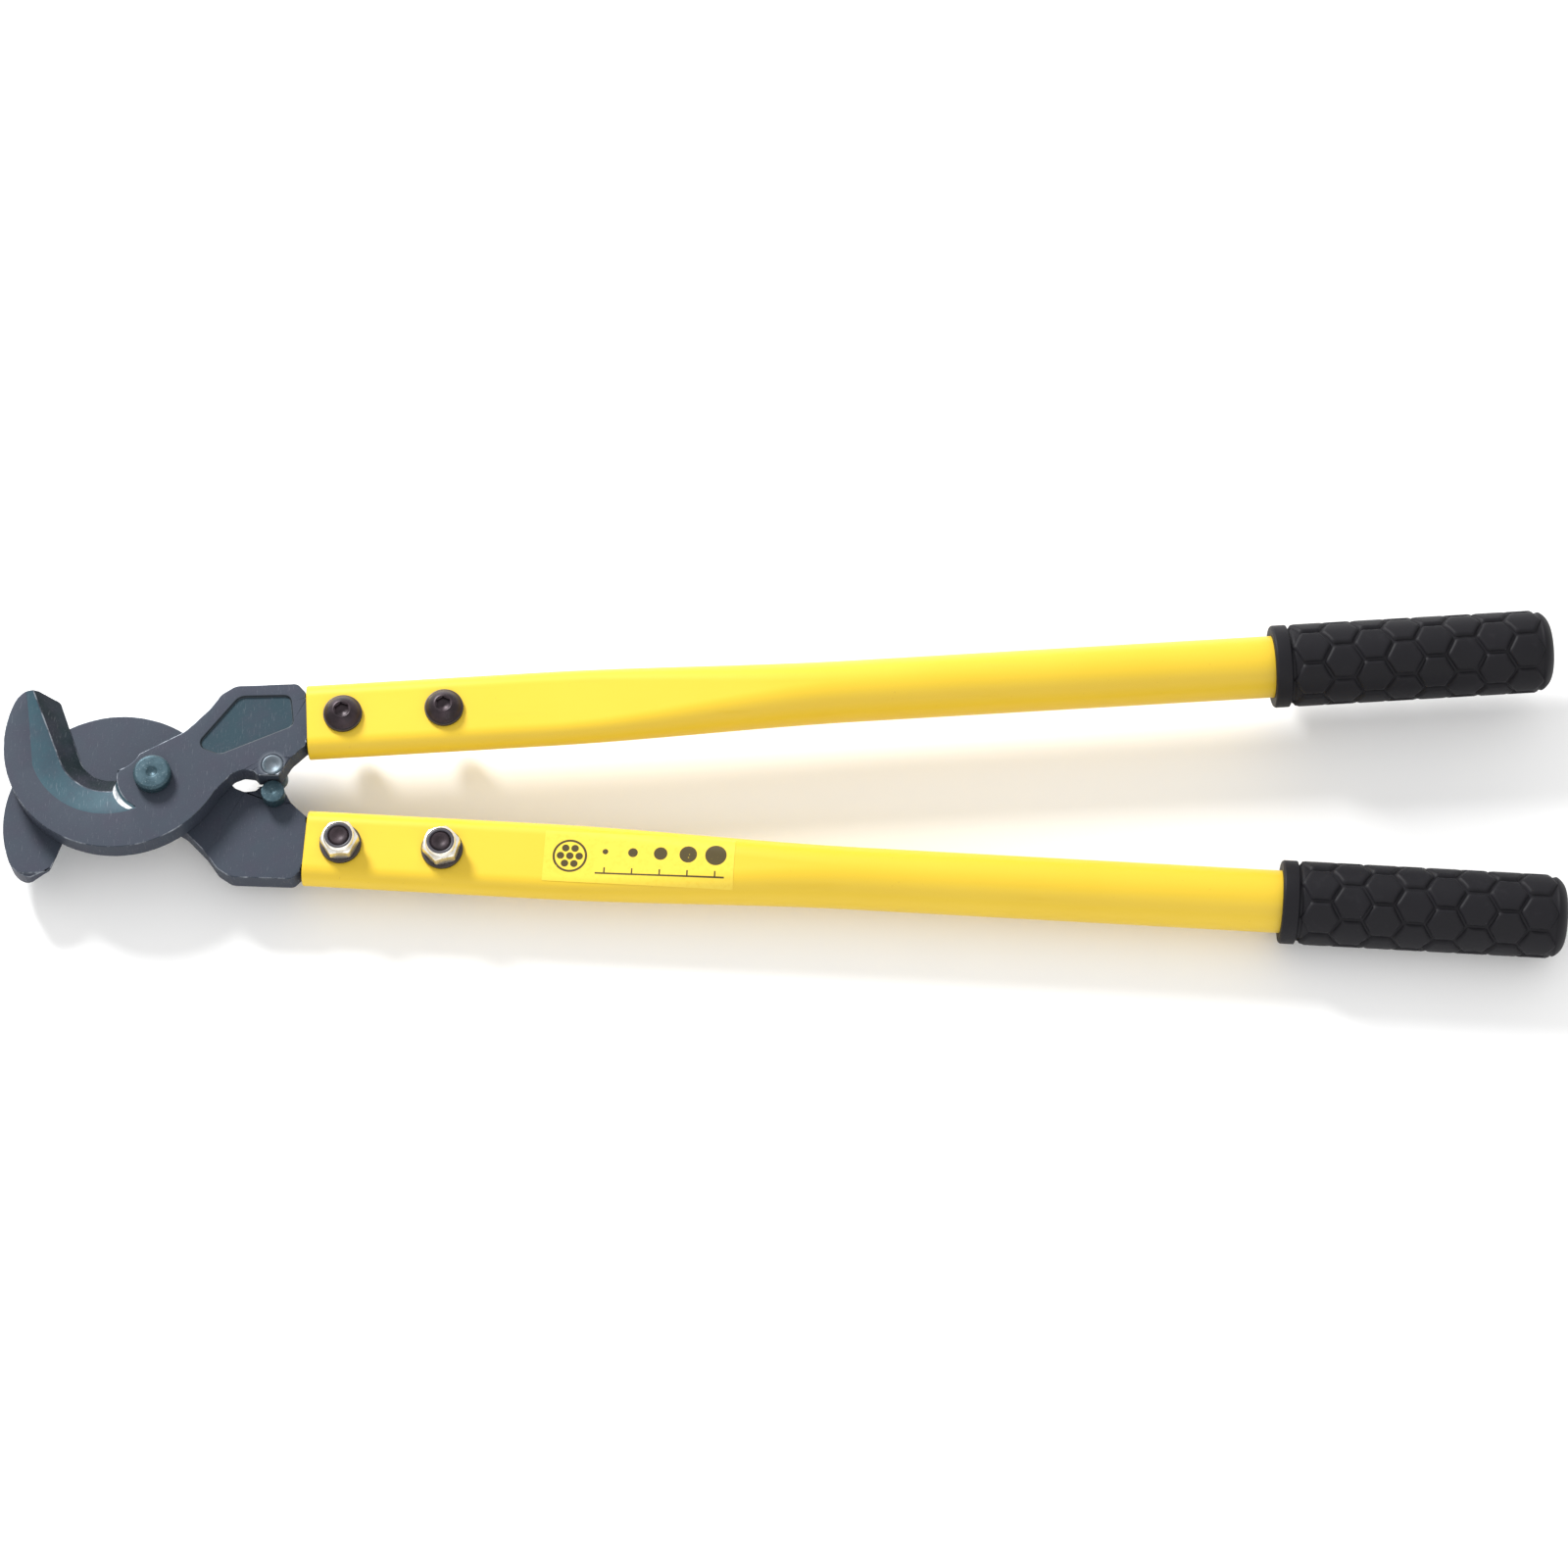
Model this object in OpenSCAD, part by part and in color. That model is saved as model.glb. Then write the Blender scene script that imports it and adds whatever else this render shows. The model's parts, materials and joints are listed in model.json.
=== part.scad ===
// Long-arm cable cutter with two bypass hook blades on tube handles. Sizes are in millimetres.
// A half is drawn with the pivot along Z, its shear face near Z = 0 and its blade above that face.
// The upper half stays that way up. The lower half is the same half turned over about the X axis.

/* [Blades] */
// Thickness of each forged blade
blade_t = 10; // [8:0.5:12]
// Running gap between the two shear faces
blade_gap = 0.2; // [0.1:0.05:0.4]
// Radius of the hook's outer edge
hook_r = 43.8; // [42:0.2:44.6]
// Radius of the round throat that holds the cable
throat_r = 13.3; // [12.4:0.1:14]
// Thickness of steel left at the cutting edge
edge_land = 0.6; // [0.4:0.1:1.5]
// Depth of the forged panel in each blade's outer face
panel_depth = 0.9; // [0.5:0.1:2]

/* [Pivot] */
// Diameter of the pivot bolt's shoulder
pivot_d = 12; // [10:0.5:13]
// Diameter of the pivot bolt's head
pivot_head_d = 14.4; // [13.6:0.2:18]
// Height of the pivot bolt's head
pivot_head_h = 4.5; // [3:0.5:6]

/* [Stop pins] */
// Diameter of the head that meets the other blade
stop_head_d = 9; // [8:0.1:9]
// Height of that head above the shear face
stop_head_h = 6; // [4:0.5:8]

/* [Handles] */
// Outside diameter of the round tube
tube_d = 24; // [22:0.5:26]
// Wall of the tube
tube_wall = 1.5; // [1.2:0.1:2]
// Length of each tube from its mouth to its end
tube_len = 476.5; // [420:0.5:520]
// Angle of each handle to the centre line when closed
splay = 3.5; // [3:0.25:5]
// Width of the pressed flat at the mouth
flat_w = 30; // [28:0.5:32]
// Length of the pressed flat
flat_len = 105; // [90:5:120]
// Length over which the flat turns round
blend_len = 95; // [70:5:120]

/* [Grips] */
// Outside diameter of each rubber grip
grip_d = 32; // [30:0.5:34]
// Length of each grip
grip_len = 108.5; // [90:0.5:140]

/* [Handle screws] */
// Thread diameter of the two screws that clamp each blade
screw_d = 8; // [6:0.5:8]
// Distance of the first screw from the tube's mouth
screw_first = 14; // [12:1:16]
// Distance between the two screws
screw_pitch = 39; // [34:1:42]

/* [Hidden] */
$fn = 96;

// Clearances and small overlaps
fit = 0.05;
hole_play = 0.2;
over = 1;
slice = 0.01;

// Heights in a half
shear_face = blade_gap / 2;
outer_face = shear_face + blade_t;
axis_z = shear_face + blade_t / 2;
flat_h = blade_t + 2 * tube_wall;

// Where the handle leaves the head
mouth = [58, 24];
shoulder_w = 22;
shoulder_gap = 0.4;
tang_w = 17;
tang_len = 66;
flat_corner = 6.4;

// Hook
hook_centre = [-14.5, 14.6];
tip_r = 9.3;
tip_side = 158;
hook_end = 332;
nose_r = 3.2;
nose_reach = 24;
throat_centre = [-17.7, 15.2];
throat_from = 333.3;
edge_side = 200;
edge_turn = edge_side - 90;
stop_edge = 0.2;
// Degrees left out of a large arc where a small one runs into it
hook_skip = 4;
throat_skip = 2;
// Straight steps in each arc of the outline
tip_steps = 12;
hook_steps = 42;
throat_steps = 32;
nose_steps = 10;
corner_steps = 6;
tip_centre = hook_centre + (hook_r - tip_r) * heading(tip_side);
nose_centre = throat_centre + (throat_r + nose_r) * heading(edge_side)
    + nose_reach * heading(edge_turn);

// Corners as x, y and the radius that rounds them
under_edge = [[27.2, -2.5, 4], [30.3, 1, 3], [34, 2.5, 3], [38.2, 2, 2], [40, stop_edge, 1],
    [48.2, stop_edge, 1], [52, 7, 6], corner(-shoulder_gap, -shoulder_w / 2, 0.5),
    corner(-shoulder_gap, -tang_w / 2, 0.3), corner(tang_len, -tang_w / 2, 2),
    corner(tang_len, tang_w / 2, 2), corner(-shoulder_gap, tang_w / 2, 0.3),
    corner(-shoulder_gap, shoulder_w / 2, 0.5), [53.8, 38.5, 3], [30, 37.6, 6], [24.6, 34, 6],
    [20, 27.4, 12], [11.5, 18.6, 10]];
panel_corners = [[15.6, 12.6, 3], [25, 9, 5], [53, 21, 3], [51.4, 33.6, 3], [31.6, 33.2, 5]];

// Grind behind the cutting edge, as distance from the throat's centre and height.
// It narrows towards the tip, where it ends grind_len past the throat.
facet_r = 20.5;
facet_z = 7.2;
grind_r = 31;
tip_facet_r = 21.7;
tip_facet_z = 9.3;
tip_grind_r = 24.3;
grind_len = 32;
grind_sweep = 135;
boss_r = 14;
boss_wall = -4;
tip_chamfer = [35.7, 37.7, 3];

// Stop pins
stop_at = [45.5, 4.6];
stop_shank_r = 2.5;
stop_peen_r = 4.2;
stop_peen_h = 2;
stop_dish_r = 7;
stop_dish = 0.6;

// Pivot fasteners
pivot_r = pivot_d / 2;
pivot_thread_r = 5;
pivot_chamfer = 0.8;
pivot_washer_r = 11;
pivot_washer_t = 1.5;
pivot_nut_af = 17;
pivot_nut_h = 8;

// Screws, washers and lock nuts
screw_r = screw_d / 2;
screw_head_r = 7;
screw_head_h = 4.4;
socket_af = 5;
socket_depth = 2.6;
head_washer_r = 7.5;
nut_washer_r = 8;
washer_t = 1.6;
nut_af = 13;
nut_h = 8;
hex_share = 0.74;
hex_face_share = 0.98;
collar_share = 0.91;
insert_h = 1.6;
insert_wall = 1.2;

// Grips
grip_collar = 5;
collar_lip = 1;
collar_break = 0.5;
groove_w = 2.4;
groove_depth = 1.4;
groove_slope = 0.8;
grip_end_r = 7;
grip_end_steps = 10;
grip_cap = 6;
grip_from = tube_len + grip_cap - grip_len;

// The lower half's grip lies on Z = 0
shear_z = axis_z + grip_d / 2;

function heading(a) = [cos(a), sin(a)];
function unit(v) = v / norm(v);
function arc(centre, r, from, to, n) =
    [for (i = [0:n]) centre + r * heading(from + (to - from) * i / n)];

// A corner given along the handle, s, and across it, t
function corner(s, t, r) =
    let (p = mouth + s * heading(splay) + t * heading(splay + 90)) [p.x, p.y, r];

// The arc that rounds corner b, between its neighbours a and c
function rounding(a, b, c) =
    let (
        u = unit([a.x - b.x, a.y - b.y]),
        w = unit([c.x - b.x, c.y - b.y]),
        half = acos(u * w) / 2,
        centre = [b.x, b.y] + unit(u + w) * b.z / sin(half),
        start = [b.x, b.y] + u * b.z / tan(half) - centre,
        end = [b.x, b.y] + w * b.z / tan(half) - centre,
        from = atan2(start.y, start.x),
        sweep = (atan2(end.y, end.x) - from + 540) % 360 - 180
    ) arc(centre, b.z, from, from + sweep, corner_steps);

// Rounds every corner of a chain but its two ends
function rounded_chain(p) =
    [for (i = [1:len(p) - 2]) each rounding(p[i - 1], p[i], p[i + 1])];
function rounded_loop(p) =
    let (n = len(p)) [for (i = [0:n - 1]) each rounding(p[(i + n - 1) % n], p[i], p[(i + 1) % n])];

module front_half() {
    translate([0, 0, shear_z]) children();
}

module rear_half() {
    translate([0, 0, shear_z]) rotate([180, 0, 0]) children();
}

module on_handle() {
    translate([mouth.x, mouth.y, axis_z]) rotate([0, 0, splay]) children();
}

// Extrudes a section along X, with the section's x across and its y up
module along(length) {
    rotate([90, 0, 90]) linear_extrude(length) children();
}

module at_screws() {
    for (s = [screw_first, screw_first + screw_pitch]) {
        on_handle() translate([s, 0, 0]) children();
    }
}

module rounded_bar(w, h, r) {
    square([w - 2 * r, h], center = true);
    square([w, h - 2 * r], center = true);
    for (x = [-1, 1], y = [-1, 1]) {
        translate([x * (w / 2 - r), y * (h / 2 - r)]) circle(r);
    }
}

module ring(outer, inner, h) {
    difference() {
        cylinder(h = h, r = outer);
        translate([0, 0, -over]) cylinder(h = h + 2 * over, r = inner);
    }
}

module blade_outline() {
    hook_last = hook_centre + hook_r * heading(hook_end);
    throat_first = throat_centre + throat_r * heading(throat_from);
    polygon(concat(
        arc(tip_centre, tip_r, 90, tip_side, tip_steps),
        arc(hook_centre, hook_r, tip_side + hook_skip, hook_end, hook_steps),
        rounded_chain(concat([hook_last], under_edge, [throat_first])),
        arc(throat_centre, throat_r, throat_from, edge_side + throat_skip, throat_steps),
        arc(nose_centre, nose_r, edge_side - 180, 90, nose_steps)
    ));
}

// Steel ground away above the cutting edge: a steep facet, then a wide shallow one
function grind_section(facet, height, edge) =
    let (
        steep = (height - shear_face - edge_land) / (facet - throat_r),
        shallow = (outer_face - height) / (edge - facet),
        inner_r = throat_r - over
    ) [[inner_r, height - steep * (facet - inner_r)], [facet, height],
        [edge + over / shallow, outer_face + over], [inner_r, outer_face + over]];

// Joins two sections of four corners, given as x across and y up, length apart along X
module tapered(from, to, length) {
    polyhedron(
        concat([for (p = from) [0, p.x, p.y]], [for (p = to) [length, p.x, p.y]]),
        concat([[0, 1, 3], [1, 2, 3], [7, 5, 4], [7, 6, 5]],
            [for (i = [0:3], j = [(i + 1) % 4]) each [[i, i + 4, j + 4], [i, j + 4, j]]])
    );
}

module grind() {
    round_part = grind_section(facet_r, facet_z, grind_r);
    at_tip = grind_section(tip_facet_r, tip_facet_z, tip_grind_r);
    difference() {
        translate([throat_centre.x, throat_centre.y, 0]) {
            rotate([0, 0, edge_side]) rotate_extrude(angle = grind_sweep) polygon(round_part);
            rotate([0, 0, edge_turn]) tapered(round_part, at_tip, grind_len);
        }
        cylinder(h = outer_face + 2 * over, r = boss_r);
        translate([boss_wall, -hook_r, 0]) cube([hook_r, 2 * hook_r, outer_face + 2 * over]);
    }
}

module tip_chamfer_cut() {
    translate([-2 * hook_r, 0, 0]) along(hook_r * 1.5) {
        polygon([[tip_chamfer[0], 0], [tip_chamfer[0], shear_face],
            [tip_chamfer[1], shear_face + tip_chamfer[2]], [hook_r, shear_face + tip_chamfer[2]],
            [hook_r, 0]]);
    }
}

module stop_pin_shape(play) {
    translate([stop_at.x, stop_at.y, 0]) {
        translate([0, 0, shear_face]) cylinder(h = blade_t, r = stop_shank_r + play);
        translate([0, 0, outer_face - stop_peen_h]) {
            cylinder(h = stop_peen_h, r1 = stop_shank_r + play, r2 = stop_peen_r + play);
        }
    }
}

module half_blade() {
    difference() {
        translate([0, 0, shear_face]) linear_extrude(blade_t) blade_outline();
        grind();
        tip_chamfer_cut();
        translate([0, 0, outer_face - panel_depth]) {
            linear_extrude(panel_depth + over) polygon(rounded_loop(panel_corners));
        }
        cylinder(h = outer_face + over, r = pivot_r + fit);
        stop_pin_shape(0);
        at_screws() cylinder(h = blade_t + over, r = screw_r + hole_play, center = true);
    }
}

module half_stop_pin() {
    difference() {
        union() {
            stop_pin_shape(0);
            translate([stop_at.x, stop_at.y, -stop_head_h]) {
                cylinder(h = stop_head_h + shear_face, r = stop_head_d / 2);
            }
        }
        translate([stop_at.x, stop_at.y, outer_face + stop_dish_r - stop_dish]) sphere(stop_dish_r);
    }
}

// Outside or inside of the tube: pressed flat, blend to round, then round
module tube_form(w, h, r, d) {
    round_from = flat_len + blend_len;
    along(flat_len) rounded_bar(w, h, r);
    hull() {
        translate([flat_len, 0, 0]) along(slice) rounded_bar(w, h, r, $fn = 32);
        translate([round_from - slice, 0, 0]) along(slice) circle(d / 2, $fn = 64);
    }
    translate([round_from, 0, 0]) along(tube_len - round_from) circle(d / 2);
}

module half_tube() {
    inner_w = flat_w - 2 * tube_wall;
    inner_corner = flat_corner - tube_wall;
    difference() {
        on_handle() tube_form(flat_w, flat_h, flat_corner, tube_d);
        on_handle() tube_form(inner_w, blade_t, inner_corner, tube_d - 2 * tube_wall);
        at_screws() cylinder(h = flat_h + over, r = screw_r + hole_play, center = true);
    }
}

module half_screws() {
    head_base = flat_h / 2 + washer_t;
    head_r = (screw_head_r ^ 2 + screw_head_h ^ 2) / (2 * screw_head_h);
    tail = flat_h / 2 + washer_t + nut_h;
    at_screws() {
        difference() {
            union() {
                translate([0, 0, -tail]) cylinder(h = tail + head_base + over, r = screw_r);
                intersection() {
                    translate([0, 0, head_base]) cylinder(h = screw_head_h, r = screw_head_r);
                    translate([0, 0, head_base + screw_head_h - head_r]) sphere(head_r);
                }
            }
            translate([0, 0, head_base + screw_head_h - socket_depth]) {
                cylinder(h = socket_depth + over, r = socket_af / 2 / cos(30), $fn = 6);
            }
        }
    }
}

module half_washers(base, outer) {
    at_screws() translate([0, 0, base]) ring(outer, screw_r + hole_play, washer_t);
}

// A lock nut standing on Z = 0: a chamfered hexagon with a round collar
module lock_nut(af, h, r) {
    hex_h = h * hex_share;
    corner_r = af / 2 / cos(30);
    face_r = af / 2 * hex_face_share;
    insert_r = r + insert_wall;
    difference() {
        union() {
            intersection() {
                cylinder(h = hex_h, r = corner_r, $fn = 6);
                cylinder(h = hex_h, r1 = corner_r + hex_h, r2 = face_r);
                cylinder(h = hex_h, r1 = face_r, r2 = corner_r + 3 * hex_h);
            }
            cylinder(h = h, r = af / 2 * collar_share);
        }
        translate([0, 0, -over]) cylinder(h = h + 2 * over, r = r + fit);
        translate([0, 0, h - insert_h]) cylinder(h = insert_h + over, r = insert_r);
    }
}

module nut_insert(h, r) {
    translate([0, 0, h - insert_h]) ring(r + insert_wall, r + fit, insert_h);
}

module at_nuts() {
    at_screws() translate([0, 0, -flat_h / 2 - washer_t]) rotate([180, 0, 0]) children();
}

module at_pivot_nut() {
    translate([0, 0, -outer_face - pivot_washer_t]) rotate([180, 0, 0]) children();
}

module half_grip() {
    r = grip_d / 2;
    bore = tube_d / 2 + fit;
    collar_end = grip_from + grip_collar;
    groove_end = collar_end + groove_w;
    last = grip_from + grip_len;
    on_handle() rotate([0, 90, 0]) rotate_extrude() {
        polygon(concat(
            [[bore, grip_from], [r - collar_lip, grip_from], [r, grip_from + collar_lip],
                [r, collar_end - collar_break], [r - groove_depth, collar_end],
                [r - groove_depth, groove_end], [r, groove_end + groove_slope]],
            arc([r - grip_end_r, last - grip_end_r], grip_end_r, 0, 90, grip_end_steps),
            [[0, last], [0, tube_len], [bore, tube_len]]
        ));
    }
}

module front_blade() {
    color("#7a7488") front_half() half_blade();
}

module rear_blade() {
    color("#6d6780") rear_half() half_blade();
}

module front_stop_pin() {
    color("#b9c4c6") front_half() half_stop_pin();
}

module rear_stop_pin() {
    color("#7f9498") rear_half() half_stop_pin();
}

// Shoulder bolt: round head on the front blade, shoulder through both, thread down to Z = 0
module pivot_bolt() {
    r = pivot_head_d / 2;
    head_base = outer_face + fit;
    color("#6f8f94") front_half() {
        translate([0, 0, -shear_z]) cylinder(h = shear_z, r = pivot_thread_r);
        translate([0, 0, -outer_face]) cylinder(h = outer_face + head_base + over, r = pivot_r);
        translate([0, 0, head_base]) {
            cylinder(h = pivot_head_h - pivot_chamfer, r = r);
            translate([0, 0, pivot_head_h - pivot_chamfer]) {
                cylinder(h = pivot_chamfer, r1 = r, r2 = r - pivot_chamfer);
            }
        }
    }
}

module pivot_washer() {
    color("#3c3d42") front_half() translate([0, 0, -outer_face - pivot_washer_t]) {
        ring(pivot_washer_r, pivot_thread_r + hole_play, pivot_washer_t);
    }
}

module pivot_nut() {
    color("#c9c7ba") front_half() at_pivot_nut() {
        lock_nut(pivot_nut_af, pivot_nut_h, pivot_thread_r);
    }
}

module pivot_nut_insert() {
    color("#2f3c55") front_half() at_pivot_nut() nut_insert(pivot_nut_h, pivot_thread_r);
}

module upper_handle_tube() {
    color("#f2c21b") front_half() half_tube();
}

module lower_handle_tube() {
    color("#f2c21b") rear_half() half_tube();
}

module upper_handle_screws() {
    color("#2a2a2e") front_half() half_screws();
}

module lower_handle_screws() {
    color("#2a2a2e") rear_half() half_screws();
}

module upper_screw_washers() {
    color("#3c3d42") front_half() half_washers(flat_h / 2, head_washer_r);
}

module lower_screw_washers() {
    color("#3c3d42") rear_half() half_washers(flat_h / 2, head_washer_r);
}

module upper_nut_washers() {
    color("#3c3d42") front_half() half_washers(-flat_h / 2 - washer_t, nut_washer_r);
}

module lower_nut_washers() {
    color("#3c3d42") rear_half() half_washers(-flat_h / 2 - washer_t, nut_washer_r);
}

module upper_handle_nuts() {
    color("#c9c7ba") front_half() at_nuts() lock_nut(nut_af, nut_h, screw_r);
}

module lower_handle_nuts() {
    color("#c9c7ba") rear_half() at_nuts() lock_nut(nut_af, nut_h, screw_r);
}

module upper_nut_inserts() {
    color("#2f3c55") front_half() at_nuts() nut_insert(nut_h, screw_r);
}

module lower_nut_inserts() {
    color("#2f3c55") rear_half() at_nuts() nut_insert(nut_h, screw_r);
}

module upper_grip() {
    color("#26262b") front_half() half_grip();
}

module lower_grip() {
    color("#26262b") rear_half() half_grip();
}

front_blade();
rear_blade();
front_stop_pin();
rear_stop_pin();
pivot_bolt();
pivot_washer();
pivot_nut();
pivot_nut_insert();
upper_handle_tube();
lower_handle_tube();
upper_handle_screws();
lower_handle_screws();
upper_screw_washers();
lower_screw_washers();
upper_nut_washers();
lower_nut_washers();
upper_handle_nuts();
lower_handle_nuts();
upper_nut_inserts();
lower_nut_inserts();
upper_grip();
lower_grip();
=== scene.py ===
import json
import math

import bmesh
import bpy
from mathutils import Matrix, Quaternion, Vector


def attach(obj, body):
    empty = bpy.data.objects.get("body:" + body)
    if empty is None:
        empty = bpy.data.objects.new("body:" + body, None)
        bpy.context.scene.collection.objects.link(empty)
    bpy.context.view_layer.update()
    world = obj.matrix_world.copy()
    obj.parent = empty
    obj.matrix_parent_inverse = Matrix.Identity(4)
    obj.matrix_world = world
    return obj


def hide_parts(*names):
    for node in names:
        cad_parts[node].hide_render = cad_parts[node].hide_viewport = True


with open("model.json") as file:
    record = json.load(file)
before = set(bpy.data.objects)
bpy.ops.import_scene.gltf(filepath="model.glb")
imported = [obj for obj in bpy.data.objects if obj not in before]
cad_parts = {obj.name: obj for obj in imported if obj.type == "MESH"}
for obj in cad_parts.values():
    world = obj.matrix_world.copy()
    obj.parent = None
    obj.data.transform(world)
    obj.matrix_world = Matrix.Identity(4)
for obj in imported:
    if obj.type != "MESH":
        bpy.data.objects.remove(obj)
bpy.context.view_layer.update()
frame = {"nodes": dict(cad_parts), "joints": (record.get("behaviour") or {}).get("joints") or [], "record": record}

mm = 0.001
weld = 0.002 * mm  # points nearer than this are one
scene = bpy.context.scene
mounts = {m["name"]: m for m in frame["record"]["mounts"]}
shearZ = frame["joints"][0]["pos_m"][2]  # height of the plane where the blades meet

# A half is made with the pivot on Z and its shear face at zero, then raised or turned over
halves = {
    "upper": {"body": "upper_half", "place": Matrix.Translation((0, 0, shearZ))},
    "lower": {
        "body": "lower_half",
        "place": Matrix.Translation((0, 0, shearZ)) @ Matrix.Rotation(math.pi, 4, "X"),
    },
}

handle = {
    "holdFromMouth": 425.25 * mm,  # the grip mount's place along the tube
    "axisHeight": 5.1 * mm,
    "length": 476.5 * mm,
    "wall": 1.5 * mm,
    "flatWidth": 30 * mm,
    "flatHeight": 13 * mm,
    "flatCorner": 6.4 * mm,
    "diameter": 24 * mm,
    "blendFrom": 92 * mm,
    "blendTo": 212 * mm,
    "blendStep": 3 * mm,
    "points": 144,
    "rim": 0.3 * mm,  # rounding of the cut ends
}
gripAxis = Vector(mounts["upper_grip_hold"]["axis"])
gripPoint = Vector(mounts["upper_grip_hold"]["pos_m"])
mouth = gripPoint - gripAxis * handle["holdFromMouth"]
splay = math.atan2(gripAxis.y, gripAxis.x)
onHandle = (Matrix.Translation((mouth.x, mouth.y, handle["axisHeight"]))
            @ Matrix.Rotation(splay, 4, "Z"))


class Wire:  # an output socket that takes part in arithmetic
    def __init__(self, graph, node, key=0):
        self.graph, self.node, self.socket = graph, node, node.outputs[key]

    def __getitem__(self, key):
        return Wire(self.graph, self.node, key)

    def maths(self, operation, *values):
        return self.graph.add("ShaderNodeMath", {"operation": operation}, dict(enumerate(values)))

    def __add__(self, other):
        return self.maths("ADD", self, other)

    def __sub__(self, other):
        return self.maths("SUBTRACT", self, other)

    def __rsub__(self, other):
        return self.maths("SUBTRACT", other, self)

    def __mul__(self, other):
        return self.maths("MULTIPLY", self, other)

    def __truediv__(self, other):
        return self.maths("DIVIDE", self, other)

    def __gt__(self, other):
        return self.maths("GREATER_THAN", self, other)

    def __lt__(self, other):
        return self.maths("LESS_THAN", self, other)

    __radd__ = __add__
    __rmul__ = __mul__

    def size(self):
        return self.maths("ABSOLUTE", self)

    def root(self):
        return self.maths("SQRT", self)

    def ramp(self, low, high):  # 0 at low, 1 at high, smooth between
        return self.graph.add("ShaderNodeMapRange", {"interpolation_type": "SMOOTHSTEP"},
                              {"Value": self, "From Min": low, "From Max": high})


class Graph:  # a shader or geometry tree
    def __init__(self, tree):
        self.tree = tree
        tree.nodes.clear()

    def add(self, kind, settings=None, inputs=None, out=0):
        node = self.tree.nodes.new(kind)
        for name, value in (settings or {}).items():
            setattr(node, name, value)
        for key, value in (inputs or {}).items():
            if isinstance(value, (Wire, list)):  # a list shares one socket
                for wire in value if isinstance(value, list) else [value]:
                    self.tree.links.new(wire.socket, node.inputs[key])
            else:
                node.inputs[key].default_value = value
        return Wire(self, node, out) if node.outputs else node

    def mix(self, factor, first, second):
        return self.add("ShaderNodeMix", {"data_type": "RGBA"}, {0: factor, 6: first, 7: second}, 2)

    def noise(self, place, scale, detail=3, roughness=0.5):
        return self.add("ShaderNodeTexNoise", None, {
            "Vector": place, "Scale": scale, "Detail": detail, "Roughness": roughness})

    def parts(self, vector):
        split = self.add("ShaderNodeSeparateXYZ", None, {0: vector})
        return split, split[1], split[2]

    def join(self, x, y, z):
        return self.add("ShaderNodeCombineXYZ", None, {0: x, 1: y, 2: z})

    def greatest(self, a, b):
        return a.maths("MAXIMUM", a, b)

    def length2(self, a, b):  # distance of the point (a, b) from the origin
        return (a * a + b * b).root()

    def bump(self, height, strength, distance, under=None):
        inputs = {"Height": height, "Strength": strength, "Distance": distance}
        if under:
            inputs["Normal"] = under
        return self.add("ShaderNodeBump", None, inputs)


def rgb(red, green, blue):
    return (red, green, blue, 1)


def surface(name, build, **fixed):  # fixed are the shader's own values, such as Coat_Roughness
    material = bpy.data.materials.new(name)
    material.use_nodes = True
    graph = Graph(material.node_tree)
    place = graph.add("ShaderNodeTexCoord", None, None, "Object")
    inputs = {key.replace("_", " "): value for key, value in fixed.items()}
    inputs.update(build(graph, place))
    shader = graph.add("ShaderNodeBsdfPrincipled", None, inputs)
    graph.add("ShaderNodeOutputMaterial", None, {"Surface": shader})
    return material


blade = {
    "thickness": 10 * mm,
    "gap": 0.1 * mm,
    "facetTop": 7.2 * mm,
    "grindEnd": -3.8 * mm,
    "bossRadius": 14 * mm,
    "panelDepth": 0.9 * mm,
    "stopX": 45.5 * mm,
    "stopY": 4.6 * mm,
    "throatX": -17.7 * mm,
    "throatY": 15.2 * mm,
    "throatRadius": 13.3 * mm,
    "edgeLand": 0.6 * mm,
    "facetEnd": 20.5 * mm,
    "bevelEnd": 31 * mm,
    "edgeWidth": 0.35 * mm,
    "edgeAngle": 22,  # a sharper corner than this is broken
    "weld": 0.02 * mm,
    # lines just outside the panel, as the x and y shares and where they start
    "panelSides": [(0.79, -0.614, 2.1 * mm), (-0.394, 0.919, -4 * mm), (0, -1, -35.6 * mm)],
    "filletFrom": 179,
    "filletTo": 260,
    "filletWidth": 2.9 * mm,
    "face": rgb(0.033, 0.042, 0.059),
    "panel": rgb(0.014, 0.037, 0.051),
    "grind": rgb(0.027, 0.064, 0.084),
    # painted shade: the steep facet of the grind is painted far darker than the grind, for the shade it takes from
    # the key light
    "facet": rgb(0.003, 0.010, 0.013),
    # dark, the painted shade of the panel's recess on its broken edges
    "rim": rgb(0.012, 0.020, 0.028),
    # near white, a painted highlight where the boss wall and the grinding runout catch the light
    "bright": rgb(0.72, 0.74, 0.76),
    "worn": rgb(0.22, 0.24, 0.27),
}


def inHalf(graph, place, half):  # the point in the half's own frame
    flipped = half == "lower"
    return graph.add("ShaderNodeMapping", None, {
        "Vector": place,
        "Location": (0, 0, shearZ if flipped else -shearZ),
        "Rotation": (math.pi if flipped else 0, 0, 0)})


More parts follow.
